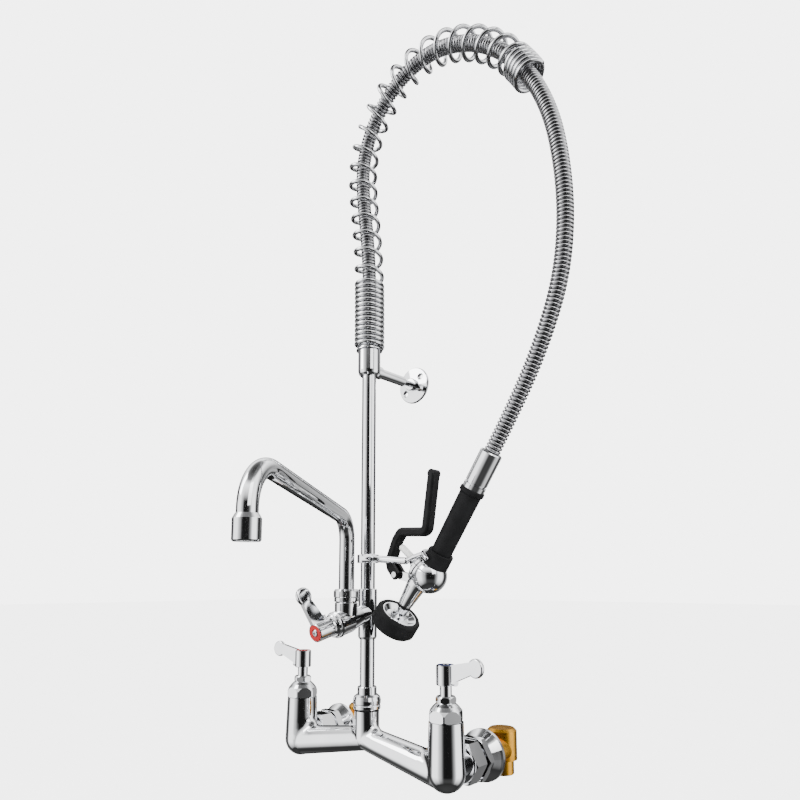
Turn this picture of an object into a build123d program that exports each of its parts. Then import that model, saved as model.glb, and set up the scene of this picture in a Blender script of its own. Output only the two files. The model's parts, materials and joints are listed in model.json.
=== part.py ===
"""Wall-mounted pre-rinse faucet: two-valve base, add-on swing spout, sprung riser hose and spray valve.

Millimetres, +Z up, +X towards the cold valve, +Y into the wall. The origin is on the wall plane,
midway between the two inlets and at their height. Every piece is its own solid in its own node.
"""

import os
from math import cos, pi, radians, sin, tan

from build123d import *

# ---- driving dimensions -------------------------------------------------------------------
VALVE_CENTRES = 203.2          # 8 in between the two inlets
HALF = VALVE_CENTRES / 2
RISER_Y = -60.0                # riser and valve columns stand this far in front of the wall

COLUMN_BOTTOM = -22.0
COLUMN_TOP = 40.5
COLUMN_R_LOW = 17.8
COLUMN_R_TOP = 16.3
BOSS_R = 12.7
BOSS_TOP = 38.0
ARM_R_COLUMN = 15.5
ARM_R_BOSS = 12.0
ARM_SPLIT = 45.0
COLUMN_BLEND = 10.0
BOSS_BLEND = 8.0
ARM_Z_COLUMN = -6.2
ARM_Z_BOSS = 10.8
CARTRIDGE_BORE_R = 12.0
WATERWAY_R = 6.0
STUB_R = 13.5
STUB_END_Y = -36.0

NIPPLE_R = 10.5
NIPPLE_BORE_R = 7.5
COUPLING_AF = 37.0
LOCKNUT_AF = 39.0
FLANGE_R = 25.0
ELBOW_Y = 34.0
ELBOW_R = 15.0
ELBOW_NECK_R = 11.6
ELBOW_BOTTOM = -24.5
INLET_THREAD_R = 9.3
INLET_THREAD_DEPTH = 13.0

BONNET_AF = 29.5
BONNET_CORNER_R = 16.6
BONNET_TOP = 57.0
PACKING_TOP = 63.5
PACKING_AF = 17.6
STEM_R = 5.65
SPINDLE_R = 4.0
HUB_R = 9.0
HUB_BOTTOM = 73.0
HUB_TOP = 91.5
RUNNING = 0.06                 # radial running clearance
GAP = 0.4                      # clearance between bodies that do not fit each other

LEVER_REACH = 37.0
LEVER_YAW = 6.0
LEVER_THICK = 4.6
PADDLE_R = 8.7

TUBE_R = 7.6
TUBE_BORE_R = 6.3
SLEEVE_BOTTOM = 109.5
SLEEVE_TOP = 161.0
SLEEVE_R = 9.8
LOWER_TUBE_BOTTOM = 44.0
UPPER_TUBE_TOP = 430.0

BRANCH_Z = 137.0               # where the add-on branch leaves the riser
BRANCH_TILT = 14.0             # degrees the branch points below the horizontal
SPOUT_OFFSET = 31.0
SPOUT_Y = RISER_Y - SPOUT_OFFSET
SPOUT_BOSS_R = 11.6
SPOUT_NUT_Z = 148.0
SPOUT_FOOT = 142.6
SPOUT_R = 7.9
SPOUT_BORE_R = 6.7
SPOUT_SEAT_R = 9.0
SPOUT_SWING = 27.7             # degrees from straight ahead towards the cold side
SPOUT_REACH = 220.0
SPOUT_KNEE_Z = 232.0
SPOUT_CREST_Z = 256.0
SPOUT_KNEE_BEND = 24.0
SPOUT_CREST_BEND = 34.0
AERATOR_BOTTOM = 195.0
AERATOR_R = 10.4

HOOK_Z = 192.3
HOOK_R = 3.5
HOOK_WIRE_R = 2.3
HOOK_CLAMP_R = 11.3
HOOK_LUG_Y = -67.2
HOOK_ROD_Y = -70.9             # the rod stands in front of the trigger
HOOK_RING_R = 15.4
HOOK_RING_AT = 115.5           # along the handset from the hose end

BRACKET_BOTTOM = 392.0
BRACKET_TOP = 421.0
BRACKET_R = 12.2
BRACKET_Z = 400.0
BRACKET_WALL_Y = 18.0
BRACKET_FLANGE_R = 21.5
BRACKET_ROD_R = 5.6
BRACKET_PCD = 29.0
BRACKET_HOLE_R = 2.6
BRACKET_HOLE_ANGLE = 38.0

HOSE_R = 7.8
HOSE_BORE_R = 5.0
HOSE_BEND = 0.45               # share of the shorter run taken by each bend
# Route of the hose centreline in the riser plane, as (x, z).
HOSE_ROUTE = [
    (0, 450), (0, 502), (-4, 554), (-11, 604), (-13, 652), (4, 696), (40, 728), (88, 738), (136, 721),
    (177, 687), (208, 642), (228, 592), (237, 538), (239, 484), (232, 430), (213, 380), (187, 331),
    (157, 285.5),
]

SPRING_WIRE_R = 2.2
SPRING_R = 15.4                # to the middle of the wire
SPRING_START = 424.0
SPRING_TIGHT_PITCH = 5.4
SPRING_TIGHT_TURNS = 14
SPRING_OPEN_TURNS = 20
SPRING_END_TURNS = 5
SPRING_OPEN_LENGTH = 428.0
SPRING_STEPS = 8               # points in one turn

FERRULE_R = 10.7
FERRULE_LENGTH = 38.0
GRIP_R = 10.2
GRIP_END = 107.0
COLLAR_END = 122.0
COLLAR_R = 12.8
GRIP_TUBE_R = 6.0
VALVE_AT = 134.0               # valve centre, along the handset from the hose end
VALVE_R = 17.0
PLUNGER_DIR = (-0.77, 0.0, 0.638)
PLUNGER_R = 3.5
PLUNGER_END = 44.6
NECK_START = (67.7, 166.1)
NECK_LEAN = 38.0
NECK_LENGTH = 38.0
BUMPER_R = 23.5
BUMPER_BORE_R = 18.3
BUMPER_LENGTH = 17.5
LEVER_PIN = (43.6, 175.3)
LEVER_PIN_R = 1.6
TRIGGER_BREADTH = 12.0
TRIGGER_THICK = 9.0
LUG_BREADTH = 5.0

PARTS = {}


# ---- helpers ------------------------------------------------------------------------------
def cyl(radius, low, high, x=0.0, y=0.0):
    """Upright cylinder between two heights."""
    return Pos(x, y, (low + high) / 2) * Cylinder(radius, high - low)


def ring(outer, inner, low, high, x=0.0, y=0.0):
    return cyl(outer, low, high, x, y) - cyl(inner, low - 1, high + 1, x, y)


def turned(*points):
    """Solid of revolution about Z of a closed (radius, height) outline."""
    outline = Polyline(*[(r, 0, z) for r, z in points], close=True)
    return revolve(make_face(outline), Axis.Z)


def frame(origin, z_dir, x_dir=(0, 1, 0)):
    """Location whose local Z runs along z_dir."""
    return Plane(origin=origin, x_dir=x_dir, z_dir=z_dir).location


def hexagon(across_flats, low, high, turn=0.0):
    """Upright hexagonal prism with its flats that far apart."""
    corner = across_flats / 2 / cos(radians(30))
    prism = extrude(RegularPolygon(corner, 6), high - low)
    return Pos(0, 0, low) * Rot(0, 0, turn) * prism


def hex_nut(across_flats, bore, low, high, chamfer=1.2, turn=0.0):
    """Hexagonal nut with both ends turned down at the corners."""
    corner = across_flats / 2 / cos(radians(30))
    blank = turned(
        (0, low), (corner - chamfer * 1.6, low), (corner, low + chamfer),
        (corner, high - chamfer), (corner - chamfer * 1.6, high), (0, high),
    )
    return (hexagon(across_flats, low, high, turn) & blank) - cyl(bore, low - 1, high + 1)


def keep(name, shape):
    """File a finished piece under its node name."""
    PARTS[name] = shape


def gather(name, shape):
    """File one of several like pieces, which share a node as separate solids."""
    PARTS.setdefault(name, []).append(shape)


def at_riser(shape):
    return Pos(0, RISER_Y, 0) * shape


SIDES = {"hot": -1, "cold": 1}


# ---- base casting -------------------------------------------------------------------------
def valve_column(side):
    centre_z = COLUMN_BOTTOM + COLUMN_R_LOW
    body = turned((0, centre_z), (COLUMN_R_LOW, centre_z), (COLUMN_R_TOP, COLUMN_TOP), (0, COLUMN_TOP))
    body += Pos(0, 0, centre_z) * Sphere(COLUMN_R_LOW)
    return Pos(side * HALF, RISER_Y, 0) * body


def base_arm(side, r_column, r_boss):
    start = Vector(side * HALF, RISER_Y, ARM_Z_COLUMN)
    end = Vector(0, RISER_Y, ARM_Z_BOSS)
    run = end - start
    return Solid.make_cone(r_column, r_boss, run.length, Plane(origin=start, z_dir=run))


def between(shape, low, high):
    """The stretch of a shape between two X positions."""
    reach = high - low
    return shape & Pos((low + high) / 2, RISER_Y, 0) * Box(reach, reach, reach)


def blended(shape, radius, low, high, floor):
    """Round the inner corners that lie between two X positions and above a height."""
    corners = [
        e for e in shape.edges()
        if e.geom_type not in (GeomType.CIRCLE, GeomType.LINE)
        and low < abs(e.center().X) < high and e.center().Z > floor
    ]
    return fillet(corners, radius)


def make_base():
    boss = at_riser(cyl(BOSS_R, ARM_Z_BOSS, BOSS_TOP) + Pos(0, 0, ARM_Z_BOSS) * Sphere(BOSS_R - 0.5))
    ends = []
    for side in SIDES.values():
        arm = base_arm(side, ARM_R_COLUMN, ARM_R_BOSS)
        limits = sorted((side * ARM_SPLIT, side * (HALF + 60)))
        ends.append(blended(valve_column(side) + between(arm, *limits), COLUMN_BLEND, 70, 99, ARM_Z_COLUMN))
        boss += between(arm, -ARM_SPLIT, ARM_SPLIT)
    body = blended(boss, BOSS_BLEND, 0, 20, ARM_Z_BOSS)
    for end in ends:
        body += end
    for side in SIDES.values():
        x = side * HALF
        body += Pos(x, 0, 0) * frame((0, RISER_Y, 0), (0, 1, 0), (1, 0, 0)) * cyl(STUB_R, 0, STUB_END_Y - RISER_Y)
        body -= cyl(CARTRIDGE_BORE_R, 8, COLUMN_TOP + 1, x, RISER_Y)
        body -= cyl(WATERWAY_R, ARM_Z_COLUMN, 9, x, RISER_Y)
        body -= Pos(x, 0, 0) * frame((0, RISER_Y, 0), (0, 1, 0), (1, 0, 0)) * cyl(NIPPLE_BORE_R, 0, 26)
        body -= base_arm(side, WATERWAY_R, WATERWAY_R - 0.5)
    body -= at_riser(cyl(WATERWAY_R, ARM_Z_BOSS, BOSS_TOP + 1))
    keep("base_body", body)


# ---- inlets, from the casting back through the wall ----------------------------------------
def make_inlet(name, side):
    place = frame((side * HALF, 0, 0), (0, 1, 0), (1, 0, 0))
    nut = hex_nut(COUPLING_AF, STUB_R + 0.05, -41, -24) + ring(15.5, NIPPLE_R + 0.05, -24.5, -22.5)
    nut += ring(18.0, STUB_R + 0.05, -42.5, -40.5)
    gather("coupling_nuts", place * nut)
    gather("lock_nuts", place * hex_nut(LOCKNUT_AF, NIPPLE_R + 0.05, -21.5, -13.5))
    flange = turned(
        (NIPPLE_R + 0.3, -13), (18, -13), (23.6, -5), (FLANGE_R, -3.2), (FLANGE_R, 0), (22, 0),
        (21.5, -3), (17, -10.5), (NIPPLE_R + 0.3, -10.5),
    )
    gather("wall_flanges", place * flange)
    gather("inlet_nipples", place * ring(NIPPLE_R, NIPPLE_BORE_R, STUB_END_Y + 2.1, 18))
    x = side * HALF
    dome = turned((0, -10), (ELBOW_R, -10), (ELBOW_R, 18), (ELBOW_R - 2.5, 20.5), (0, 21))
    body = Pos(x, ELBOW_Y, 0) * dome
    body += Pos(x, ELBOW_Y, 0) * turned((0, ELBOW_BOTTOM), (ELBOW_NECK_R - 0.8, ELBOW_BOTTOM),
                                       (ELBOW_NECK_R, ELBOW_BOTTOM + 0.8), (ELBOW_NECK_R, -9), (0, -9))
    body += place * cyl(ELBOW_R - 0.8, 1.0, ELBOW_Y)
    body -= place * cyl(NIPPLE_R + 0.03, -1, 18.03)
    body -= place * cyl(NIPPLE_BORE_R, -1, ELBOW_Y)
    body -= cyl(NIPPLE_BORE_R, ELBOW_BOTTOM - 1, 6, x, ELBOW_Y)
    body -= cyl(INLET_THREAD_R, ELBOW_BOTTOM - 1, ELBOW_BOTTOM + INLET_THREAD_DEPTH, x, ELBOW_Y)
    gather("inlet_elbows", body)
    gather("inlet_washers", place * ring(STUB_R - 0.2, NIPPLE_BORE_R + 0.5, STUB_END_Y, STUB_END_Y + 2))


# ---- quarter-turn valves ------------------------------------------------------------------
def bonnet_nut():
    """Hexagon below, domed above, over the cartridge."""
    envelope = turned(
        (0, COLUMN_TOP + 0.2), (BONNET_CORNER_R - 1.2, COLUMN_TOP + 0.2), (BONNET_CORNER_R, COLUMN_TOP + 1.6),
        (BONNET_CORNER_R, COLUMN_TOP + 7.0), (BONNET_CORNER_R - 1.4, COLUMN_TOP + 10.5),
        (BONNET_CORNER_R - 4.2, COLUMN_TOP + 14.0), (HUB_R + 0.6, BONNET_TOP), (0, BONNET_TOP),
    )
    prism = hexagon(BONNET_AF, COLUMN_TOP, COLUMN_TOP + 11.5)
    dome = envelope & cyl(BONNET_AF / 2, COLUMN_TOP + 6, BONNET_TOP + 1)
    return (prism & envelope) + dome - cyl(7.3, COLUMN_TOP - 1, BONNET_TOP + 1)


def packing_nut():
    envelope = turned(
        (0, BONNET_TOP), (9.0, BONNET_TOP), (9.7, BONNET_TOP + 1.6), (9.7, PACKING_TOP - 1.8),
        (8.2, PACKING_TOP), (0, PACKING_TOP),
    )
    nut = hexagon(PACKING_AF, BONNET_TOP, PACKING_TOP, 30) & envelope
    nut -= cyl(7.3, BONNET_TOP - 1, BONNET_TOP + 4)
    return nut - cyl(STEM_R + RUNNING, BONNET_TOP, PACKING_TOP + 1)


def cartridge():
    body = turned(
        (0, 8.2), (CARTRIDGE_BORE_R - 0.1, 8.2), (CARTRIDGE_BORE_R - 0.1, 39), (7.2, COLUMN_TOP + 0.1),
        (7.2, BONNET_TOP + 3.8), (0, BONNET_TOP + 3.8),
    )
    body -= cyl(WATERWAY_R, 7, 13)
    body -= cyl(9.4, 10.2, 20)
    return body - cyl(STEM_R + RUNNING, 19, 70)


def spindle():
    shaft = cyl(STEM_R, 20.2, 82)
    shaft += cyl(8.8, 16.4, 19.6) + cyl(SPINDLE_R, 19, 21)
    shaft -= cyl(1.7, 74, 83)
    return shaft


def handle(lever_side):
    """Hub with a flat lever that ends in a round paddle; the lever points along +X or -X."""
    hub = turned((0, HUB_BOTTOM), (HUB_R - 0.6, HUB_BOTTOM), (HUB_R, HUB_BOTTOM + 0.6), (HUB_R, HUB_TOP - 0.7),
                 (HUB_R - 0.7, HUB_TOP), (0, HUB_TOP))
    blade_outline = Polyline(
        (2, 0, HUB_TOP - 0.8), (LEVER_REACH - 4, 0, HUB_TOP + 5.4), (LEVER_REACH - 4, 0, HUB_TOP - 6.0),
        (HUB_R, 0, HUB_TOP - 16.0), (2, 0, HUB_TOP - 16.0), close=True,
    )
    blade = extrude(make_face(blade_outline), LEVER_THICK / 2, both=True, dir=(0, 1, 0))
    paddle = frame((LEVER_REACH, 0, HUB_TOP - 0.2), (0, 1, 0), (1, 0, 0)) * Cylinder(PADDLE_R, LEVER_THICK)
    paddle = fillet(paddle.edges(), 1.6)
    boss = frame((HUB_R - 2, 0, HUB_BOTTOM + 2.9), (1, 0, 0)) * cyl(2.7, 0, 6.5)
    lever = Rot(0, 0, -LEVER_YAW) * (blade + paddle + boss)
    if lever_side < 0:
        lever = mirror(lever, Plane.YZ)
    body = hub + lever
    body -= cyl(8.25, HUB_TOP - 1.6, HUB_TOP + 1)
    body -= cyl(STEM_R + 0.03, HUB_BOTTOM - 1, 82.03)
    return body - cyl(2.1, 81, HUB_TOP)


def index_ring():
    blank = turned((3.7, HUB_TOP - 1.6), (8.2, HUB_TOP - 1.6), (8.2, HUB_TOP - 0.5), (7.6, HUB_TOP + 0.3),
                   (4.2, HUB_TOP + 0.3), (3.7, HUB_TOP - 0.2))
    return blank


def handle_screw():
    """Pan-head screw with a cross recess, down into the spindle."""
    screw = turned((0, 75), (1.6, 75), (1.6, HUB_TOP - 2.0), (2.0, HUB_TOP - 1.6), (3.6, HUB_TOP - 1.6),
                   (3.6, HUB_TOP - 0.4), (2.6, HUB_TOP + 0.5), (0, HUB_TOP + 0.6))
    for turn in (0, 90):
        screw -= Pos(0, 0, HUB_TOP + 0.4) * Rot(0, 0, turn) * Box(4.2, 0.9, 2.0)
    return screw


def make_valve(name, place, lever_side):
    gather("bonnet_nuts", place * bonnet_nut())
    gather("packing_nuts", place * packing_nut())
    gather("valve_cartridges", place * cartridge())
    keep(f"{name}_spindle", place * spindle())
    keep(f"{name}_handle", place * handle(lever_side))
    keep(f"{name}_index_ring", place * index_ring())
    keep(f"{name}_handle_screw", place * handle_screw())
    gather("fixed_discs", place * (cyl(9.2, 13.2, 16.0) - cyl(3.0, 12, 17)))


# ---- riser --------------------------------------------------------------------------------
def make_riser():
    swivel = turned(
        (TUBE_R + 0.1, BOSS_TOP + 1.6), (13.6, BOSS_TOP + 1.6), (14.0, BOSS_TOP + 2.4), (14.0, BOSS_TOP + 5.0),
        (13.2, BOSS_TOP + 5.8), (14.2, BOSS_TOP + 7.2), (14.4, BOSS_TOP + 10.5), (13.4, BOSS_TOP + 14.2),
        (11.2, BOSS_TOP + 16.0), (TUBE_R + 0.1, BOSS_TOP + 16.0),
    )
    keep("riser_swivel_nut", at_riser(swivel))
    gather("riser_gaskets", at_riser(ring(12.4, WATERWAY_R, BOSS_TOP, BOSS_TOP + 1.5)))
    collar = turned((TUBE_R + 0.1, 54.1), (9.9, 54.1), (9.9, 61.2), (9.3, 62), (TUBE_R + 0.1, 62))
    keep("riser_collar", at_riser(collar))
    keep("riser_lower_tube", at_riser(ring(TUBE_R, TUBE_BORE_R, LOWER_TUBE_BOTTOM, SLEEVE_BOTTOM + 14)))
    keep("riser_upper_tube", at_riser(ring(TUBE_R, TUBE_BORE_R, SLEEVE_TOP - 12, UPPER_TUBE_TOP)))


# ---- add-on branch with its own valve and the swing spout ----------------------------------
BRANCH = frame(
    (0, RISER_Y, BRANCH_Z), (0, -cos(radians(BRANCH_TILT)), -sin(radians(BRANCH_TILT))), (1, 0, 0)
)
BRANCH_SEAT = 44.0             # end of the branch casting, along the branch
BRANCH_VALVE = BRANCH * Pos(0, 0, BRANCH_SEAT - COLUMN_TOP)


def make_branch():
    sleeve = turned((0, SLEEVE_BOTTOM), (8.6, SLEEVE_BOTTOM), (SLEEVE_R, SLEEVE_BOTTOM + 2.4),
                    (SLEEVE_R, SLEEVE_TOP - 0.8), (SLEEVE_R - 0.8, SLEEVE_TOP), (0, SLEEVE_TOP))
    body = at_riser(sleeve)
    body += BRANCH * turned((0, 0), (9.2, 0), (9.8, 14), (12.6, 30), (12.6, BRANCH_SEAT), (0, BRANCH_SEAT))
    body += Pos(0, SPOUT_Y, 0) * turned((0, 129), (SPOUT_BOSS_R, 129), (SPOUT_BOSS_R, SPOUT_NUT_Z - 1.2),
                                       (SPOUT_BOSS_R - 0.8, SPOUT_NUT_Z), (0, SPOUT_NUT_Z))
    body -= at_riser(cyl(TUBE_R + 0.03, SLEEVE_BOTTOM - 1, SLEEVE_BOTTOM + 14.03))
    body -= at_riser(cyl(TUBE_R + 0.03, SLEEVE_TOP - 12.03, SLEEVE_TOP + 1))
    body -= at_riser(cyl(TUBE_BORE_R, SLEEVE_BOTTOM, SLEEVE_TOP))
    body -= BRANCH * cyl(5.0, 0, 20)
    body -= BRANCH * cyl(10.0, 18, BRANCH_SEAT + 1)
    body -= cyl(SPOUT_SEAT_R, 140.5, SPOUT_NUT_Z + 1, 0, SPOUT_Y)
    body -= cyl(SPOUT_BORE_R, 130, 141, 0, SPOUT_Y)
    keep("addon_body", body)


def addon_cartridge():
    body = turned((0, 18.2), (9.9, 18.2), (9.9, 42.4), (7.2, BRANCH_SEAT), (7.2, BRANCH_SEAT + 9.8),
                  (0, BRANCH_SEAT + 9.8))
    body -= cyl(4.5, 17, 23)
    body -= cyl(7.9, 20.2, 28)
    return body - cyl(STEM_R + RUNNING, 27, 70)


def make_addon_valve():
    seat = BRANCH_SEAT
    ring_nut = turned((7.3, seat + 0.1), (12.4, seat + 0.1), (13.3, seat + 1.0), (13.3, seat + 3.2), (12.2, seat + 4.4),
                      (11.0, seat + 4.6), (11.4, seat + 5.4), (11.4, seat + 7.2), (10.2, seat + 8.2),
                      (7.3, seat + 8.2))
    keep("addon_bonnet_nut", BRANCH * ring_nut)
    gland = turned((7.3, seat + 8.3), (9.0, seat + 8.3), (9.2, seat + 9.8), (8.6, seat + 11.2),
                   (STEM_R + RUNNING, seat + 11.2), (STEM_R + RUNNING, seat + 10.0), (7.3, seat + 10.0))
    keep("addon_packing_nut", BRANCH * gland)
    keep("addon_cartridge", BRANCH * addon_cartridge())
    shift = seat + 11.8 - HUB_BOTTOM
    stem = cyl(STEM_R, 28.2, 82 + shift) + cyl(SPINDLE_R, 27, 29) + cyl(7.4, 24.6, 27.6)
    keep("addon_spindle", BRANCH * (stem - cyl(1.7, 74 + shift, 83 + shift)))
    # The lever of this valve stands up when the valve is shut.
    place = BRANCH * Pos(0, 0, shift) * Rot(0, 0, -90 + LEVER_YAW)
    keep("addon_handle", place * handle(-1))
    keep("addon_index_ring", place * index_ring())
    keep("addon_handle_screw", place * handle_screw())
    gather("fixed_discs", BRANCH * (cyl(7.7, 23.2, 24.2) - cyl(2.5, 22, 25)))


def swing_point(reach, z):
    angle = radians(SPOUT_SWING)
    return (reach * sin(angle), SPOUT_Y - reach * cos(angle), z)


def make_spout():
    aerator_top = AERATOR_BOTTOM + 16.5
    path = FilletPolyline(
        (0, SPOUT_Y, SPOUT_FOOT), (0, SPOUT_Y, SPOUT_KNEE_Z), swing_point(SPOUT_REACH, SPOUT_CREST_Z),
        swing_point(SPOUT_REACH, aerator_top), radius=[SPOUT_KNEE_BEND, SPOUT_CREST_BEND],
    )
    section = Plane(origin=path @ 0, z_dir=path % 0)
    outer = sweep(section * Circle(SPOUT_R), path)
    inner = sweep(section * Circle(SPOUT_BORE_R), path)
    tube = outer - inner
    tube += Pos(0, SPOUT_Y, 0) * ring(SPOUT_SEAT_R - RUNNING, SPOUT_R - 0.2, SPOUT_FOOT + 2.1, SPOUT_FOOT + 3.8)
    keep("spout_tube", tube)
    tip = swing_point(SPOUT_REACH, 0)
    shell = turned(
        (AERATOR_R - 2.2, AERATOR_BOTTOM), (AERATOR_R - 0.8, AERATOR_BOTTOM), (AERATOR_R, AERATOR_BOTTOM + 1),
        (AERATOR_R, AERATOR_BOTTOM + 16), (SPOUT_R + 0.4, AERATOR_BOTTOM + 19.6), (SPOUT_R + 0.02, AERATOR_BOTTOM + 19.6),
        (SPOUT_R + 0.02, aerator_top), (SPOUT_BORE_R, aerator_top), (SPOUT_BORE_R, AERATOR_BOTTOM + 11),
        (AERATOR_R - 2.2, AERATOR_BOTTOM + 9),
    )
    keep("aerator_shell", Pos(*tip) * shell)
    insert = cyl(AERATOR_R - 2.3, AERATOR_BOTTOM + 1.6, AERATOR_BOTTOM + 8)
    for radius, count in ((2.6, 6), (5.4, 12)):
        for spot in PolarLocations(radius, count):
            insert -= spot * cyl(0.75, AERATOR_BOTTOM, AERATOR_BOTTOM + 9)
    keep("aerator_insert", Pos(*tip) * insert)
    nut = turned(
        (8.0, SPOUT_NUT_Z + 0.3), (12.0, SPOUT_NUT_Z + 0.3), (12.3, SPOUT_NUT_Z + 0.9), (12.3, SPOUT_NUT_Z + 4.4),
        (12.9, SPOUT_NUT_Z + 5.2), (12.9, SPOUT_NUT_Z + 10.8), (11.4, SPOUT_NUT_Z + 12.8), (8.0, SPOUT_NUT_Z + 13.0),
    )
    screw_place = Pos(0, SPOUT_Y, SPOUT_NUT_Z + 7.8) * Rot(0, 0, 40)
    screw_hole = screw_place * frame((0, 0, 0), (0, -1, 0), (1, 0, 0)) * cyl(2.2, 9.6, 14)
    keep("spout_nut", Pos(0, SPOUT_Y, 0) * nut - screw_hole)
    screw = frame((0, 0, 0), (0, -1, 0), (1, 0, 0)) * (cyl(2.1, 9.7, 13.1) - hexagon(2.0, 11.4, 14))
    gather("set_screws", screw_place * screw)
    for low in (SPOUT_FOOT + 0.4, SPOUT_FOOT + 4.0):
        gather("spout_o_rings", Pos(0, SPOUT_Y, low) * ring(SPOUT_SEAT_R - 0.05, SPOUT_R + 0.05, 0, 1.4))


# ---- wall bracket -------------------------------------------------------------------------
def make_bracket():
    collar = turned(
        (TUBE_R + 0.05, BRACKET_BOTTOM), (9.4, BRACKET_BOTTOM), (11.4, BRACKET_BOTTOM + 2.2),
        (BRACKET_R, BRACKET_BOTTOM + 5.5), (BRACKET_R, BRACKET_TOP - 1), (BRACKET_R - 1, BRACKET_TOP),
        (TUBE_R + 0.05, BRACKET_TOP),
    )
    back = frame((0, RISER_Y, BRACKET_Z), (0, 1, 0), (1, 0, 0))
    collar = at_riser(collar) + back * cyl(7.0, 9.5, 17)
    collar -= back * cyl(BRACKET_ROD_R, 10.5, 18)
    screw_place = Pos(0, RISER_Y, BRACKET_TOP - 7) * Rot(0, 0, 150)
    socket = frame((0, 0, 0), (0, -1, 0), (1, 0, 0))
    collar -= screw_place * socket * cyl(2.0, TUBE_R, 14)
    keep("bracket_collar", collar)
    gather("set_screws", screw_place * socket * (cyl(1.95, TUBE_R + 0.1, 11.9) - hexagon(1.8, 10, 13)))
    boss_y = BRACKET_WALL_Y - RISER_Y
    rod = cyl(BRACKET_ROD_R - 0.02, 10.6, boss_y - 22) + cyl(3.5, boss_y - 23, boss_y - 6)
    rod = back * (rod + Pos(0, 0, boss_y - 22) * Cone(BRACKET_ROD_R - 0.02, 3.5, 3, align=(Align.CENTER, Align.CENTER, Align.MIN)))
    keep("bracket_rod", rod)
    flange = turned(
        (3.55, boss_y - 9), (6.6, boss_y - 9), (7.4, boss_y - 8), (7.4, boss_y - 4.2), (BRACKET_FLANGE_R - 0.8, boss_y - 2.8),
        (BRACKET_FLANGE_R, boss_y - 2.0), (BRACKET_FLANGE_R, boss_y), (0, boss_y), (0, boss_y - 5.9), (3.55, boss_y - 5.9),
    )
    for turn in (BRACKET_HOLE_ANGLE, BRACKET_HOLE_ANGLE + 180):
        x = BRACKET_PCD / 2 * cos(radians(turn))
        y = BRACKET_PCD / 2 * sin(radians(turn))
        flange -= cyl(BRACKET_HOLE_R, boss_y - 6, boss_y + 1, x, -y)
        flange -= Pos(x, -y, boss_y - 2.9) * Cone(4.6, BRACKET_HOLE_R - 0.1, 2.0)
    keep("bracket_flange", back * flange)


# ---- hose and its support spring ------------------------------------------------------------
def hose_path():
    """Straight runs joined by the largest tangent arcs that they allow."""
    points = [Vector(x, RISER_Y, z) for x, z in HOSE_ROUTE]
    bends = []
    for before, corner, after in zip(points, points[1:], points[2:]):
        turn = radians((corner - before).get_angle(after - corner))
        shorter = min((corner - before).length, (after - corner).length)
        bends.append(HOSE_BEND * shorter / tan(turn / 2))
    print("hose bend radii", [round(b, 1) for b in bends])
    return FilletPolyline(*points, radius=bends)


def make_hose(path):
    section = Plane(origin=path @ 0, z_dir=path % 0)
    outer = sweep(section * Circle(HOSE_R), path)
    inner = sweep(section * Circle(HOSE_BORE_R), path)
    hose = outer - inner
    expected = pi * (HOSE_R ** 2 - HOSE_BORE_R ** 2) * path.length
    print("hose length", round(path.length, 1), "volume", round(hose.volume), "expected", round(expected))
    keep("hose", hose)


def spring_points(path):
    """Wire centreline: close turns on the riser, open turns along the hose, close turns at the end."""
    tight_end = SPRING_START + SPRING_TIGHT_PITCH * SPRING_TIGHT_TURNS
    total = SPRING_TIGHT_TURNS + SPRING_OPEN_TURNS + SPRING_END_TURNS
    points = []
    for step in range(total * SPRING_STEPS + 1):
        turns = step / SPRING_STEPS
        angle = 2 * pi * turns
        if turns <= SPRING_TIGHT_TURNS:
            height = SPRING_START + SPRING_TIGHT_PITCH * turns
        elif turns <= SPRING_TIGHT_TURNS + SPRING_OPEN_TURNS:
            height = tight_end + SPRING_OPEN_LENGTH * (turns - SPRING_TIGHT_TURNS) / SPRING_OPEN_TURNS
        else:
            extra = turns - SPRING_TIGHT_TURNS - SPRING_OPEN_TURNS
            height = tight_end + SPRING_OPEN_LENGTH + SPRING_TIGHT_PITCH * extra
        along = height - HOSE_ROUTE[0][1]
        if along <= 0:
            centre = Vector(0, RISER_Y, height)
            tangent = Vector(0, 0, 1)
        else:
            centre = path @ (along / path.length)
            tangent = path % (along / path.length)
        across = tangent.cross(Vector(0, 1, 0)).normalized()
        points.append(centre + across * (SPRING_R * cos(angle)) + Vector(0, 1, 0) * (SPRING_R * sin(angle)))
    return points


def make_spring(path):
    points = spring_points(path)
    bends = []
    for before, corner, after in zip(points, points[1:], points[2:]):
        turn = radians((corner - before).get_angle(after - corner))
        shorter = min((corner - before).length, (after - corner).length)
        bends.append(HOSE_BEND * shorter / tan(turn / 2))
    wire = FilletPolyline(*points, radius=bends)
    section = Plane(origin=wire @ 0, z_dir=wire % 0)
    spring = sweep(section * Circle(SPRING_WIRE_R), wire)
    print("spring wire length", round(wire.length), "volume", round(spring.volume),
          "expected", round(pi * SPRING_WIRE_R ** 2 * wire.length))
    keep("support_spring", spring)


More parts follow.
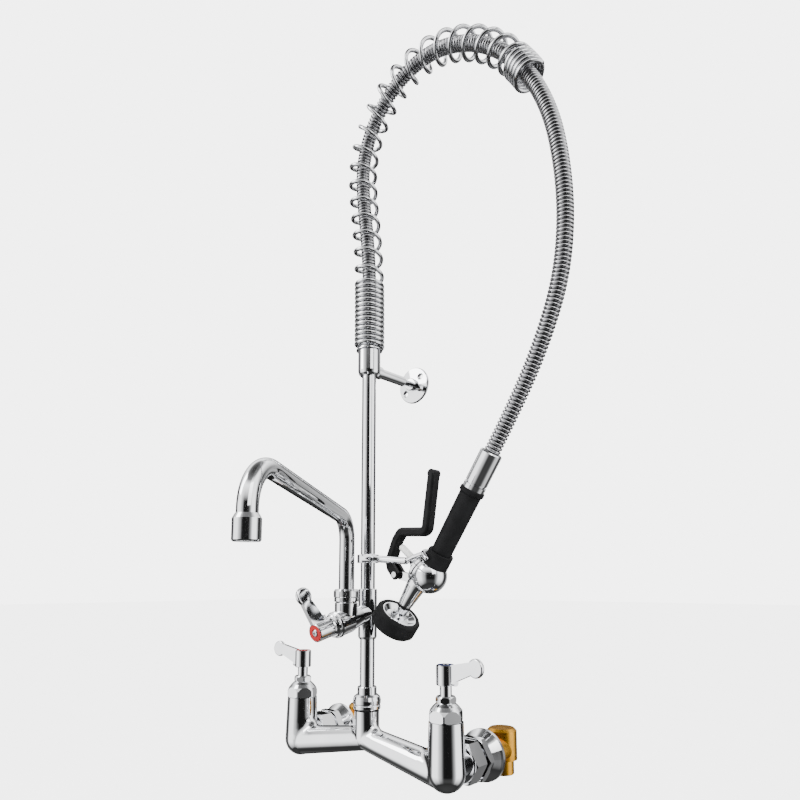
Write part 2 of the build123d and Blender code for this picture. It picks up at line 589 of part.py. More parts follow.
def make_hose_fittings():
    seat = turned((TUBE_R + 0.05, BRACKET_TOP + 0.05), (14.4, BRACKET_TOP + 0.05), (14.4, BRACKET_TOP + 0.75),
                  (11.6, BRACKET_TOP + 0.75), (11.6, BRACKET_TOP + 7), (11.0, BRACKET_TOP + 8),
                  (TUBE_R + 0.05, BRACKET_TOP + 8))
    keep("spring_seat", at_riser(seat))
    nut = turned((HOSE_BORE_R, UPPER_TUBE_TOP + 0.5), (11.0, UPPER_TUBE_TOP + 0.5), (11.0, UPPER_TUBE_TOP + 14),
                 (9.2, HOSE_ROUTE[0][1]), (HOSE_BORE_R, HOSE_ROUTE[0][1]))
    keep("hose_upper_nut", at_riser(nut))
    gather("riser_gaskets", at_riser(ring(TUBE_R, HOSE_BORE_R, UPPER_TUBE_TOP, UPPER_TUBE_TOP + 0.5)))


# ---- handset axes ----------------------------------------------------------------------------
HOSE_END = Vector(HOSE_ROUTE[-1][0], RISER_Y, HOSE_ROUTE[-1][1])
HANDSET_DIR = Vector(
    HOSE_ROUTE[-1][0] - HOSE_ROUTE[-2][0], 0, HOSE_ROUTE[-1][1] - HOSE_ROUTE[-2][1]
).normalized()
HANDSET = frame(HOSE_END, HANDSET_DIR)
VALVE_CENTRE = HOSE_END + HANDSET_DIR * VALVE_AT
PLUNGER = frame(VALVE_CENTRE, PLUNGER_DIR)
NECK_DIR = Vector(-sin(radians(NECK_LEAN)), 0, -cos(radians(NECK_LEAN)))
NECK = frame((NECK_START[0], RISER_Y, NECK_START[1]), NECK_DIR)


# ---- hook -----------------------------------------------------------------------------------
def make_hook():
    """Clamp on the riser, a rod that passes in front of the trigger, and an open ring round the collar."""
    clamp = at_riser(ring(HOOK_CLAMP_R, TUBE_R + 0.03, HOOK_Z - 4.3, HOOK_Z + 4.3))
    clamp += frame((0, HOOK_LUG_Y, HOOK_Z), (1, 0, 0)) * cyl(HOOK_R + 1.3, 2, 15)
    clamp -= at_riser(cyl(TUBE_R + 0.03, HOOK_Z - 6, HOOK_Z + 6))
    clamp -= frame((0, HOOK_LUG_Y, HOOK_Z), (1, 0, 0)) * cyl(HOOK_R + 0.03, 9, 16)
    screw_dir = frame((0, RISER_Y, HOOK_Z), (-1, 0, 0))
    clamp -= screw_dir * cyl(2.0, TUBE_R, 13)
    keep("hook_clamp", clamp)
    gather("set_screws", screw_dir * (cyl(1.95, TUBE_R + 0.1, 12.6) - hexagon(1.8, 11, 14)))
    rod_path = FilletPolyline(
        (9.1, HOOK_LUG_Y, HOOK_Z), (17, HOOK_LUG_Y, HOOK_Z), (28, HOOK_ROD_Y, HOOK_Z - 1.4),
        (63, HOOK_ROD_Y - 0.5, HOOK_Z - 3.9), radius=[12, 14],
    )
    rod = sweep(Plane(origin=rod_path @ 0, z_dir=rod_path % 0) * Circle(HOOK_R), rod_path)
    rod += Pos(*(rod_path @ 1)) * Sphere(HOOK_R)
    centre = HOSE_END + HANDSET_DIR * HOOK_RING_AT
    left = HANDSET_DIR.cross(Vector(0, 1, 0)).normalized()
    if left.X > 0:
        left = left * -1
    front = Vector(0, -1, 0)
    ring_points = [
        centre + (front * cos(radians(a)) + left * sin(radians(a))) * HOOK_RING_R for a in (8, 96, 184)
    ]
    ring_path = ThreePointArc(*ring_points)
    open_ring = sweep(Plane(origin=ring_path @ 0, z_dir=ring_path % 0) * Circle(HOOK_WIRE_R), ring_path)
    for tip in (ring_points[0], ring_points[2]):
        open_ring += Pos(*tip) * Sphere(HOOK_WIRE_R)
    joint = centre + (front + left) * (HOOK_RING_R / 2 ** 0.5)
    neck_path = FilletPolyline(rod_path @ 1, (72, HOOK_ROD_Y - 1.0, HOOK_Z - 0.6), joint, radius=[6])
    neck = sweep(Plane(origin=neck_path @ 0, z_dir=neck_path % 0) * Circle(HOOK_WIRE_R), neck_path)
    keep("hook_arm", rod + neck + open_ring)


# ---- spray valve ----------------------------------------------------------------------------
def make_handset_grip():
    ferrule = turned(
        (GRIP_TUBE_R + 0.05, 0), (FERRULE_R - 0.9, 0), (FERRULE_R, 1.0), (FERRULE_R, 31.6), (FERRULE_R - 0.9, 32.2),
        (FERRULE_R - 0.9, 33.0), (FERRULE_R + 0.2, 33.6), (FERRULE_R + 0.2, FERRULE_LENGTH),
        (GRIP_TUBE_R + 0.05, FERRULE_LENGTH),
    )
    ferrule += cyl(FERRULE_R - 2, 0, 4) - cyl(HOSE_BORE_R, -1, 5)
    keep("hose_ferrule", HANDSET * ferrule)
    grip = turned(
        (GRIP_TUBE_R + 0.05, FERRULE_LENGTH + 0.05), (11.2, FERRULE_LENGTH + 0.05), (12.1, FERRULE_LENGTH + 1.2),
        (12.1, FERRULE_LENGTH + 4.4), (GRIP_R + 0.5, FERRULE_LENGTH + 6.2), (GRIP_R, GRIP_END),
        (GRIP_TUBE_R + 0.05, GRIP_END),
    )
    keep("spray_grip", HANDSET * grip)
    collar = turned(
        (GRIP_TUBE_R + 0.05, GRIP_END + 0.05), (COLLAR_R - 0.7, GRIP_END + 0.05), (COLLAR_R, GRIP_END + 0.9),
        (COLLAR_R, COLLAR_END - 0.6), (COLLAR_R - 0.6, COLLAR_END), (GRIP_TUBE_R + 0.05, COLLAR_END),
    )
    collar -= Pos(0, 0, VALVE_AT) * Sphere(VALVE_R + 0.05)
    keep("grip_collar", HANDSET * collar - PLUNGER * cyl(16.8, -2, 18))
    keep("handle_tube", HANDSET * ring(GRIP_TUBE_R, GRIP_TUBE_R - 1.2, 4.05, VALVE_AT - VALVE_R + 1.5))


def make_spray_valve():
    body = Pos(*VALVE_CENTRE) * Sphere(VALVE_R)
    barrel = turned((0, 0), (15.4, 0), (15.4, 9.2), (16.6, 10.0), (16.6, 12.6), (15.6, 13.6), (0, 13.6))
    body += PLUNGER * barrel
    neck = turned((0, -10), (9.9, -10), (9.9, 2), (8.6, 12), (6.0, NECK_LENGTH - 4), (6.0, NECK_LENGTH + 3.0),
                  (0, NECK_LENGTH + 3.0))
    body += NECK * neck
    pin_x, pin_z = LEVER_PIN
    lug_outline = Polyline(
        (69, RISER_Y, 174), (pin_x + 1.0, RISER_Y, pin_z + 3.9), (pin_x - 2.6, RISER_Y, pin_z + 3.0),
        (pin_x - 3.8, RISER_Y, pin_z + 0.4), (pin_x - 2.0, RISER_Y, pin_z - 3.4), (67, RISER_Y, 165), close=True,
    )
    body += extrude(make_face(lug_outline), LUG_BREADTH / 2, both=True, dir=(0, 1, 0))
    body -= Pos(*VALVE_CENTRE) * frame((0, 0, 0), -HANDSET_DIR) * cyl(GRIP_TUBE_R + 0.05, 0, 30)
    body -= PLUNGER * cyl(10.0, -12.0, 8)
    body -= PLUNGER * cyl(12.0, 7.9, 40)
    body -= NECK * cyl(4.2, -14, NECK_LENGTH + 6)
    pin_axis = frame((pin_x, RISER_Y, pin_z), (0, 1, 0), (1, 0, 0))
    body -= pin_axis * cyl(LEVER_PIN_R, -10, 10)
    keep("spray_valve_body", body)
    bonnet = turned(
        (PLUNGER_R + RUNNING, 8.1), (11.9, 8.1), (11.9, 14.4), (10.8, 15.4), (8.2, 16.8), (8.2, 20.5), (6.4, 22.0),
        (6.0, 25.0), (PLUNGER_R + RUNNING, 25.0),
    )
    keep("spray_valve_bonnet", PLUNGER * bonnet)
    plunger = cyl(PLUNGER_R, -2, PLUNGER_END) + Pos(0, 0, PLUNGER_END) * Sphere(PLUNGER_R)
    plunger += turned((0, -2), (7.4, -2), (7.4, 0.4), (PLUNGER_R, 2.2), (0, 2.2))
    keep("spray_plunger", PLUNGER * plunger)
    keep("plunger_seat_washer", PLUNGER * (cyl(7.4, -4.2, -2.05)))


def make_spray_head():
    end = NECK_LENGTH
    dish = turned(
        (6.1, end - 1.2), (8.0, end - 0.4), (8.4, end + 2.6), (12.0, end + 3.4), (17.2, end - 0.4), (18.2, end - 0.4),
        (18.2, end + 11.0), (16.6, end + 12.4), (14.0, end + 12.4), (14.0, end + 6.0), (6.1, end + 6.0),
    )
    keep("spray_head", NECK * dish)
    plate = cyl(13.9, end + 10.0, end + 13.4)
    for radius, count in ((4.5, 6), (8.0, 12), (11.4, 18)):
        for spot in PolarLocations(radius, count):
            plate -= spot * cyl(0.7, end + 9, end + 15)
    keep("spray_face_plate", NECK * plate)
    bumper = turned(
        (BUMPER_BORE_R, end + 0.4), (BUMPER_BORE_R + 1.2, end - 1.2), (BUMPER_R - 1.8, end - 1.2), (BUMPER_R, end + 1.0),
        (BUMPER_R, end + BUMPER_LENGTH - 3.4), (BUMPER_R - 2.2, end + BUMPER_LENGTH - 0.6),
        (BUMPER_BORE_R + 1.4, end + BUMPER_LENGTH - 0.6), (BUMPER_BORE_R, end + BUMPER_LENGTH - 2.0),
    )
    keep("bumper_ring", NECK * bumper)


def make_trigger():
    pin_x, pin_z = LEVER_PIN
    centre = [(89.5, 273.5), (80.8, 216.6), (48.6, 218.2), (42.2, 210.3), (33.6, 190.5), (36, 184)]
    path = FilletPolyline(*[(x, RISER_Y, z) for x, z in centre], radius=[6.0, 4.8, 5.0, 3.0])
    section = Plane(origin=path @ 0, x_dir=(0, 1, 0), z_dir=path % 0)
    bar = sweep(section * RectangleRounded(TRIGGER_BREADTH, TRIGGER_THICK, 3.0), path)
    tip = path @ 0
    bar += Pos(*tip) * frame((0, 0, 0), (0, 1, 0), (1, 0, 0)) * Cylinder(TRIGGER_THICK / 2 - 0.2, TRIGGER_BREADTH - 1.6)
    cheek_outline = Polyline(
        (30.3, RISER_Y, 190.8), (33.4, RISER_Y, 180.0), (42.0, RISER_Y, pin_z - 5.2), (pin_x + 3.2, RISER_Y, pin_z - 3.6),
        (pin_x + 4.2, RISER_Y, pin_z + 1.5), (37.6, RISER_Y, 190.0), close=True,
    )
    cheeks = extrude(make_face(cheek_outline), (TRIGGER_BREADTH + 1.2) / 2, both=True, dir=(0, 1, 0))
    slot = Pos(pin_x + 2.5, RISER_Y, pin_z + 2.5) * Box(19, LUG_BREADTH + 2 * GAP, 19)
    pin_axis = frame((pin_x, RISER_Y, pin_z), (0, 1, 0), (1, 0, 0))
    keep("trigger_lever", bar + cheeks - slot - pin_axis * cyl(LEVER_PIN_R + RUNNING, -12, 12))
    pin = cyl(LEVER_PIN_R, -7.2, 7.2) + ring(2.8, 0.001, -8.2, -7.0) + ring(2.8, 0.001, 7.0, 8.2)
    keep("lever_pin", pin_axis * pin)


# ---- build ----------------------------------------------------------------------------------
def main():
    make_base()
    for name, side in SIDES.items():
        make_inlet(name, side)
        make_valve(name, Pos(side * HALF, RISER_Y, 0), side)
    make_riser()
    make_branch()
    make_addon_valve()
    make_spout()
    make_bracket()
    path = hose_path()
    make_hose(path)
    make_spring(path)
    make_hose_fittings()
    make_hook()
    make_handset_grip()
    make_spray_valve()
    make_spray_head()
    make_trigger()
    os.makedirs("parts", exist_ok=True)
    for name, shape in PARTS.items():
        solids = Compound(shape) if isinstance(shape, list) else shape
        export_step(solids, f"parts/{name}.step")
    print(len(PARTS), "nodes")


main()
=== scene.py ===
import bpy
import json
from math import cos, sin, pi, radians
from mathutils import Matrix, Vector


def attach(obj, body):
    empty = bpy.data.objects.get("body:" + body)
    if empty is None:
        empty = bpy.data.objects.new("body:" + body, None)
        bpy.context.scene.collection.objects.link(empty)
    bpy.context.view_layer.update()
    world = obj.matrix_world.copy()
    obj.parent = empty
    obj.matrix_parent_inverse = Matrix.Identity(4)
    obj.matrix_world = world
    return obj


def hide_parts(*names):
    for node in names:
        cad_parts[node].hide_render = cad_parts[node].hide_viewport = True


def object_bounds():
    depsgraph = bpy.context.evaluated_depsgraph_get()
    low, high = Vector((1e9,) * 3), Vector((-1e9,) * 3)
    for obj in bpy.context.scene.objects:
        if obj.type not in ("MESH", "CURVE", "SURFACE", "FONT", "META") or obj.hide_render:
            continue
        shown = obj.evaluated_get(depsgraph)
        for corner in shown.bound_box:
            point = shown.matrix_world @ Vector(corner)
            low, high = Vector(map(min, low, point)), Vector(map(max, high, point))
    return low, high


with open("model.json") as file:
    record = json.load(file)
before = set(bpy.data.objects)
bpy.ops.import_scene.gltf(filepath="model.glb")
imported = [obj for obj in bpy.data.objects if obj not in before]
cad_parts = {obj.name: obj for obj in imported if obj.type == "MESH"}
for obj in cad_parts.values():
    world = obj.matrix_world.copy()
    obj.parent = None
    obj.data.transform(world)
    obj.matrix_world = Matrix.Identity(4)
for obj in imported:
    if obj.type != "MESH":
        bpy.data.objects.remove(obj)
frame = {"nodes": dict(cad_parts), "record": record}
cad_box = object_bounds()
scene = bpy.context.scene

# Depth of the plane that holds the riser, the hose and its spring.
RISER_Y = -0.060

# Hose: outer radius, length of one ring of its strip, and vertices round it.
HOSE_R = 0.0078
HOSE_PITCH = 0.0036
HOSE_SIDES = 40
# One ring of the strip as (share of the pitch, share of the outer radius); the last
# GAP_SHADE_STEPS lie in the gap before the next ring and carry painted shade, a near-black
# metal.
HOSE_PROFILE = [
    (0.00, 0.82), (0.07, 0.93), (0.20, 0.985), (0.38, 1.0), (0.56, 0.985), (0.69, 0.93),
    (0.76, 0.82), (0.88, 0.80),
]
GAP_SHADE_STEPS = 2
HOSE_END = 0.885
# Route of the hose centreline in the riser plane, (x, z): control points of its spline.
HOSE_ROUTE = [
    (0, .450), (0, .502), (-.004, .554), (-.011, .604), (-.013, .652), (.004, .696),
    (.040, .728), (.088, .738), (.136, .721), (.177, .687), (.208, .642), (.228, .592),
    (.237, .538), (.239, .484), (.232, .430), (.213, .380), (.187, .331), (.157, .2855),
]
HOSE_START = HOSE_ROUTE[0][1]

# Support spring: a close coil on the riser, an open one along the hose, a close end.
SPRING_WIRE_R = 0.0022
SPRING_WIRE_END = 0.93
SPRING_SIDES = 14
SPRING_STEPS = 36
SPRING_R = 0.0145
SPRING_START = 0.424
TIGHT_PITCH = 0.0054
TIGHT_TURNS = 14
OPEN_TURNS = 20
OPEN_LENGTH = 0.428
END_TURNS = 5

FLOOR_DROP = 0.65
FLOOR_HALF = 30.0

# Brightness round the room in reflections: 0 and 1 lie on the viewer's side, 0.25 left,
# 0.5 behind the faucet, 0.75 right. Wide pale panels stand between darker gaps.
ROOM_ROUND = [
    (0.000, 0.004), (0.050, 0.005), (0.072, 0.05), (0.100, 0.22), (0.135, 0.42),
    (0.170, 0.90), (0.262, 0.90), (0.285, 0.16), (0.315, 0.016), (0.350, 0.010),
    (0.375, 0.07), (0.410, 0.20), (0.435, 0.03), (0.460, 0.005), (0.540, 0.005),
    (0.565, 0.03), (0.590, 0.24), (0.620, 0.10), (0.650, 0.010), (0.690, 0.010),
    (0.720, 0.20), (0.750, 0.90), (0.835, 0.90), (0.865, 0.24), (0.900, 0.06),
    (0.925, 0.005), (1.000, 0.004),
]
# Brightness from straight below to straight above.
ROOM_HEIGHT = [
    (0.0, 0.02), (0.12, 0.012), (0.30, 0.06), (0.60, 0.22), (0.74, 0.80), (0.88, 0.92),
    (0.94, 0.10), (1.0, 0.02),
]
ROOM_TURN = radians(40.2)
# Steepness over which the walls give way to the floor and ceiling.
WALL_TO_END = (0.30, 0.80)
ROOM_STRENGTH = 3.0
WHITE_STRENGTH = 5.2

# Soft boxes: name, place, watts.
LIGHTS = [("key", (-0.9, -1.3, 1.5), 20), ("fill", (1.5, -0.6, 1.1), 8)]
LIGHT_TARGET = Vector((0.05, -0.1, 0.35))
LIGHT_SIZE = (0.8, 1.2)


# ---- camera -------------------------------------------------------------------------
def make_camera():
    data = bpy.data.cameras.new("view_camera")
    data.lens = 28.74
    data.sensor_width = 36.0
    data.shift_y = 0.12
    data.clip_start = 0.01
    camera = bpy.data.objects.new("view_camera", data)
    camera.location = (0.4731, -0.5470, 0.1657)
    camera.rotation_euler = (radians(97.87), 0, radians(41.31))
    scene.collection.objects.link(camera)
    scene.camera = camera


# ---- node materials -----------------------------------------------------------------
def new_material(name):
    material = bpy.data.materials.new(name)
    material.use_nodes = True
    tree = material.node_tree
    return material, tree, tree.nodes["Principled BSDF"]


def object_coords(tree):
    return tree.nodes.new("ShaderNodeTexCoord").outputs["Object"]


def noise(tree, vector, scale, detail=4.0, rough=0.55):
    node = tree.nodes.new("ShaderNodeTexNoise")
    node.inputs["Scale"].default_value = scale
    node.inputs["Detail"].default_value = detail
    node.inputs["Roughness"].default_value = rough
    tree.links.new(vector, node.inputs["Vector"])
    return node.outputs["Fac"]


def ramp(tree, value, stops):
    node = tree.nodes.new("ShaderNodeValToRGB")
    elements = node.color_ramp.elements
    while len(elements) < len(stops):
        elements.new(0.5)
    for element, (place, colour) in zip(elements, stops):
        element.position = place
        element.color = (*colour, 1.0)
    tree.links.new(value, node.inputs["Fac"])
    return node.outputs["Color"]


def grey(v):
    return (v, v, v)


def grey_ramp(tree, value, stops):
    return ramp(tree, value, [(place, grey(v)) for place, v in stops])


def bump(tree, shader, height, distance, strength, below=None):
    node = tree.nodes.new("ShaderNodeBump")
    node.inputs["Distance"].default_value = distance
    node.inputs["Strength"].default_value = strength
    tree.links.new(height, node.inputs["Height"])
    if below is not None:
        tree.links.new(below, node.inputs["Normal"])
    tree.links.new(node.outputs["Normal"], shader.inputs["Normal"])
    return node.outputs["Normal"]


def metal(name, low, high, rough_low, rough_high, scale=60.0, dent=0.00002):
    """Metal whose tint and polish drift slightly, over a faint cast texture."""
    material, tree, shader = new_material(name)
    shader.inputs["Metallic"].default_value = 1.0
    vector = object_coords(tree)
    broad = noise(tree, vector, scale, 3.0)
    fine = noise(tree, vector, scale * 9, 5.0, 0.6)
    tint = ramp(tree, broad, [(0.3, low), (0.7, high)])
    polish = grey_ramp(tree, fine, [(0.3, rough_low), (0.75, rough_high)])
    tree.links.new(tint, shader.inputs["Base Color"])
    tree.links.new(polish, shader.inputs["Roughness"])
    first = bump(tree, shader, broad, dent * 4, 0.12)
    bump(tree, shader, fine, dent, 0.25, first)
    return material


def moulded(name, low, high, rough_low, rough_high, scale, dent, specular):
    """Rubber, plastic, ceramic or enamel: an even colour with a fine surface grain."""
    material, tree, shader = new_material(name)
    shader.inputs["Specular IOR Level"].default_value = specular
    vector = object_coords(tree)
    broad = noise(tree, vector, 70.0, 3.0)
    fine = noise(tree, vector, scale, 6.0, 0.65)
    tint = ramp(tree, broad, [(0.35, low), (0.7, high)])
    polish = grey_ramp(tree, fine, [(0.25, rough_low), (0.75, rough_high)])
    tree.links.new(tint, shader.inputs["Base Color"])
    tree.links.new(polish, shader.inputs["Roughness"])
    first = bump(tree, shader, broad, dent, 0.15)
    bump(tree, shader, fine, dent, 0.5, first)
    return material


# One material for each slot of the record.
MATERIALS = {
    "chrome": metal(
        "chrome_plate", (0.80, 0.81, 0.83), (0.88, 0.885, 0.90), 0.025, 0.07,
        45.0, 0.000003),
    "raw_brass": metal(
        "machined_brass", (0.42, 0.19, 0.012), (0.60, 0.30, 0.030), 0.22, 0.40,
        90.0, 0.00005),
    "steel_spring": metal(
        "spring_wire", (0.56, 0.565, 0.58), (0.68, 0.685, 0.70), 0.07, 0.14,
        60.0, 0.000004),
    "steel_hose": metal(
        "hose_strip", (0.34, 0.34, 0.35), (0.48, 0.48, 0.495), 0.12, 0.22,
        140.0, 0.00004),
    "steel": metal(
        "screw_steel", (0.55, 0.555, 0.57), (0.68, 0.685, 0.70), 0.14, 0.26),
    "black_rubber": moulded(
        "soft_rubber", (0.0030, 0.0030, 0.0032), (0.0050, 0.0050, 0.0054), 0.42, 0.60,
        900.0, 0.00002, 0.06),
    "black_plastic": moulded(
        "moulded_black", (0.0026, 0.0026, 0.0028), (0.0044, 0.0044, 0.0047), 0.34, 0.48,
        1400.0, 0.00001, 0.10),
    "white_plastic": moulded(
        "acetal", (0.42, 0.42, 0.41), (0.50, 0.50, 0.49), 0.22, 0.36,
        700.0, 0.00003, 0.5),
    "ceramic": moulded(
        "ceramic", (0.80, 0.80, 0.78), (0.86, 0.86, 0.85), 0.10, 0.18,
        500.0, 0.00001, 0.5),
    "red_index": moulded(
        "red_enamel", (0.13, 0.0015, 0.002), (0.18, 0.003, 0.004), 0.22, 0.32,
        800.0, 0.000005, 0.15),
    "blue_index": moulded(
        "blue_enamel", (0.002, 0.005, 0.030), (0.004, 0.009, 0.048), 0.22, 0.32,
        800.0, 0.000005, 0.2),
}


def dress_nodes():
    """Each CAD node takes the material of its slot."""
    for entry in frame["record"]["subparts"]:
        node = frame["nodes"][entry["node"]]
        node.data.materials.clear()
        node.data.materials.append(MATERIALS[entry["material_slot"]])


# ---- meshes -------------------------------------------------------------------------
def mesh_object(name, vertices, faces, slot):
    mesh = bpy.data.meshes.new(name)
    mesh.from_pydata([tuple(v) for v in vertices], [], faces)
    mesh.materials.append(MATERIALS[slot])
    mesh.validate()
    mesh.update()
    mesh.polygons.foreach_set("use_smooth", [True] * len(mesh.polygons))
    piece = bpy.data.objects.new(name, mesh)
    scene.collection.objects.link(piece)
    return piece


def tube_faces(rings, sides):
    """Quads between neighbouring rings of vertices, with a cap on each end."""
    faces = []
    for i in range(rings - 1):
        for k in range(sides):
            n = (k + 1) % sides
            low, high = i * sides, (i + 1) * sides
            faces.append((low + k, low + n, high + n, high + k))
    faces.append(tuple(reversed(range(sides))))
    faces.append(tuple((rings - 1) * sides + k for k in range(sides)))
    return faces


def centreline():
    """Points along the hose's own NURBS line, read from an unbevelled curve."""
    data = bpy.data.curves.new("hose_line", "CURVE")
    data.dimensions = "3D"
    data.resolution_u = 24
    spline = data.splines.new("NURBS")
    spline.points.add(len(HOSE_ROUTE) - 1)
    for point, (x, z) in zip(spline.points, HOSE_ROUTE):
        point.co = (x, RISER_Y, z, 1.0)
    spline.order_u = 3
    spline.use_endpoint_u = True
    line = bpy.data.objects.new("hose_line", data)
    scene.collection.objects.link(line)
    bpy.context.view_layer.update()
    mesh = bpy.data.meshes.new_from_object(line)
    points = [v.co.copy() for v in mesh.vertices]
    bpy.data.objects.remove(line)
    bpy.data.meshes.remove(mesh)
    return points


class Line:
    """Arc-length lookup on a polyline; it runs down the riser before its first point."""

    def __init__(self, points):
        self.points = points
        self.marks = [0.0]
        for a, b in zip(points, points[1:]):
            self.marks.append(self.marks[-1] + (b - a).length)
        self.length = self.marks[-1]
        self.last = 0

    def at(self, s):
        if s <= 0:
            return self.points[0] + Vector((0, 0, s)), Vector((0, 0, 1))
        s = min(s, self.length)
        if s < self.marks[self.last]:
            self.last = 0
        while self.last < len(self.marks) - 2 and self.marks[self.last + 1] < s:
            self.last += 1
        i = self.last
        a, b = self.points[i], self.points[i + 1]
        share = (s - self.marks[i]) / (self.marks[i + 1] - self.marks[i])
        before = self.points[max(i - 1, 0)]
        after = self.points[min(i + 2, len(self.points) - 1)]
        came, goes = (b - before).normalized(), (after - a).normalized()
        return a.lerp(b, share), came.lerp(goes, share).normalized()


def make_hose(line):
    """Interlocked metal hose: rounded rings, each with a narrow gap before the next,
    painted near-black as shade.
    """
    rings = int(line.length / HOSE_PITCH)
    pitch = line.length / rings
    stations = [((i + at) * pitch, r) for i in range(rings) for at, r in HOSE_PROFILE]
    stations.append((line.length, HOSE_END))
    vertices = []
    for s, share in stations:
        centre, tangent = line.at(s)
        across = tangent.cross(Vector((0, 1, 0))).normalized()
        side = across.cross(tangent).normalized()
        for k in range(HOSE_SIDES):
            a = 2 * pi * k / HOSE_SIDES
            out = HOSE_R * share
            vertices.append(centre + across * (out * cos(a)) + side * (out * sin(a)))
    faces = tube_faces(len(stations), HOSE_SIDES)
    hose = mesh_object("hose_skin", vertices, faces, "steel_hose")
    # Painted shade: near-black metal on the gap faces stands in for the shade inside the
    # recess between rings.
    gap_shade_metal = metal("hose_gap", (0.035, 0.035, 0.036), (0.06, 0.06, 0.062), 0.35, 0.5)
    hose.data.materials.append(gap_shade_metal)
    steps = len(HOSE_PROFILE)
    for number, face in enumerate(hose.data.polygons):
        # The gap steps of every ring take the painted shade material.
        if (number // HOSE_SIDES) % steps >= steps - GAP_SHADE_STEPS:
            face.material_index = 1
    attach(hose, "faucet")
    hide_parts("hose")


def spring_height(turns):
    """Distance up the riser and hose after that many turns."""
    tight = SPRING_START + TIGHT_PITCH * TIGHT_TURNS
    if turns <= TIGHT_TURNS:
        return SPRING_START + TIGHT_PITCH * turns
    if turns <= TIGHT_TURNS + OPEN_TURNS:
        return tight + OPEN_LENGTH * ((turns - TIGHT_TURNS) / OPEN_TURNS)
    return tight + OPEN_LENGTH + TIGHT_PITCH * (turns - TIGHT_TURNS - OPEN_TURNS)


def make_spring(line):
    """Round wire wound about the riser's top and then about the hose."""
    total = (TIGHT_TURNS + OPEN_TURNS + END_TURNS) * SPRING_STEPS
    points = []
    for i in range(total + 1):
        turns = i / SPRING_STEPS
        centre, tangent = line.at(spring_height(turns) - HOSE_START)
        side = Vector((0, 1, 0))
        across = tangent.cross(side).normalized()
        a = 2 * pi * turns
        points.append(centre + across * (SPRING_R * cos(a)) + side * (SPRING_R * sin(a)))
    vertices = []
    normal = (points[0] - line.at(SPRING_START - HOSE_START)[0]).normalized()
    for i, point in enumerate(points):
        tangent = (points[min(i + 1, total)] - points[max(i - 1, 0)]).normalized()
        normal = (normal - tangent * normal.dot(tangent)).normalized()
        binormal = tangent.cross(normal)
        radius = SPRING_WIRE_R * (SPRING_WIRE_END if i in (0, total) else 1.0)
        for k in range(SPRING_SIDES):
            a = 2 * pi * k / SPRING_SIDES
            vertices.append(
                point + normal * (radius * cos(a)) + binormal * (radius * sin(a)))
    faces = tube_faces(total + 1, SPRING_SIDES)
    spring = mesh_object("spring_wire", vertices, faces, "steel_spring")
    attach(spring, "faucet")
    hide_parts("support_spring")


# ---- floor and light ----------------------------------------------------------------
def make_floor():
    """Pale floor well below, as the faucet hangs on a wall."""
    material, tree, shader = new_material("floor_paint")
    speckle = noise(tree, object_coords(tree), 3.0)
    tint = grey_ramp(tree, speckle, [(0.3, 0.885), (0.7, 0.895)])
    tree.links.new(tint, shader.inputs["Base Color"])
    shader.inputs["Roughness"].default_value = 0.9
    shader.inputs["Specular IOR Level"].default_value = 0.0
    low = cad_box[0][2] - FLOOR_DROP
    corners = [
        (-FLOOR_HALF, -FLOOR_HALF, low), (FLOOR_HALF, -FLOOR_HALF, low),
        (FLOOR_HALF, FLOOR_HALF, low), (-FLOOR_HALF, FLOOR_HALF, low),
    ]
    mesh = bpy.data.meshes.new("floor")
    mesh.from_pydata(corners, [], [(0, 1, 2, 3)])
    mesh.materials.append(material)
    floor = bpy.data.objects.new("floor", mesh)
    scene.collection.objects.link(floor)
    floor.visible_glossy = False


def map_range(tree, value, low, high):
    node = tree.nodes.new("ShaderNodeMapRange")
    node.inputs["From Min"].default_value = low
    node.inputs["From Max"].default_value = high
    tree.links.new(value, node.inputs["Value"])
    return node.outputs["Result"]


def math_node(tree, operation, *values):
    node = tree.nodes.new("ShaderNodeMath")
    node.operation = operation
    for socket, value in zip(node.inputs, values):
        tree.links.new(value, socket)
    return node.outputs["Value"]


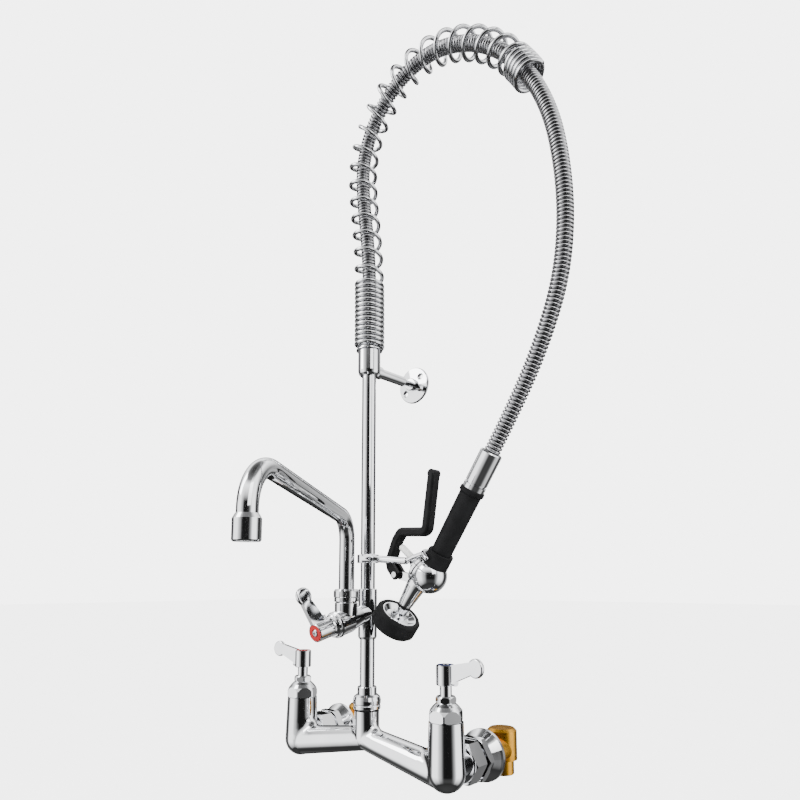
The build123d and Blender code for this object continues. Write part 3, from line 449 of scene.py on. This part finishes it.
def room_colour(tree):
    """Panels round the walls, blending into the ends above and below."""
    coords = tree.nodes.new("ShaderNodeTexCoord")
    turned = tree.nodes.new("ShaderNodeMapping")
    turned.inputs["Rotation"].default_value = (0, 0, -ROOM_TURN)
    tree.links.new(coords.outputs["Generated"], turned.inputs["Vector"])
    split = tree.nodes.new("ShaderNodeSeparateXYZ")
    tree.links.new(turned.outputs["Vector"], split.inputs["Vector"])
    x, y, z = split.outputs
    angle = math_node(tree, "ARCTAN2", x, y)
    walls = grey_ramp(tree, map_range(tree, angle, -pi, pi), ROOM_ROUND)
    ends = grey_ramp(tree, map_range(tree, z, -1, 1), ROOM_HEIGHT)
    blend = tree.nodes.new("ShaderNodeMix")
    blend.data_type = "RGBA"
    factor = next(s for s in blend.inputs if s.identifier == "Factor_Float")
    first = next(s for s in blend.inputs if s.identifier == "A_Color")
    second = next(s for s in blend.inputs if s.identifier == "B_Color")
    tree.links.new(map_range(tree, math_node(tree, "ABSOLUTE", z), *WALL_TO_END), factor)
    tree.links.new(walls, first)
    tree.links.new(ends, second)
    return next(s for s in blend.outputs if s.identifier == "Result_Color")


def make_world():
    """White studio; its reflections show pale panels with darker gaps between them."""
    world = bpy.data.worlds.new("studio")
    world.use_nodes = True
    scene.world = world
    tree = world.node_tree
    tree.nodes.clear()
    white = tree.nodes.new("ShaderNodeBackground")
    white.inputs["Color"].default_value = (1, 1, 1, 1)
    white.inputs["Strength"].default_value = WHITE_STRENGTH
    room = tree.nodes.new("ShaderNodeBackground")
    tree.links.new(room_colour(tree), room.inputs["Color"])
    room.inputs["Strength"].default_value = ROOM_STRENGTH
    rays = tree.nodes.new("ShaderNodeLightPath")
    mix = tree.nodes.new("ShaderNodeMixShader")
    tree.links.new(rays.outputs["Is Glossy Ray"], mix.inputs[0])
    tree.links.new(white.outputs["Background"], mix.inputs[1])
    tree.links.new(room.outputs["Background"], mix.inputs[2])
    out = tree.nodes.new("ShaderNodeOutputWorld")
    tree.links.new(mix.outputs["Shader"], out.inputs["Surface"])


def make_lights():
    for name, location, watts in LIGHTS:
        data = bpy.data.lights.new(name, "AREA")
        data.shape = "RECTANGLE"
        data.size, data.size_y = LIGHT_SIZE
        data.energy = watts
        light = bpy.data.objects.new(name, data)
        light.location = location
        aim = LIGHT_TARGET - Vector(location)
        light.rotation_euler = aim.to_track_quat("-Z", "Y").to_euler()
        scene.collection.objects.link(light)


make_camera()
hose_line = Line(centreline())
make_hose(hose_line)
make_spring(hose_line)
dress_nodes()
make_floor()
make_world()
make_lights()
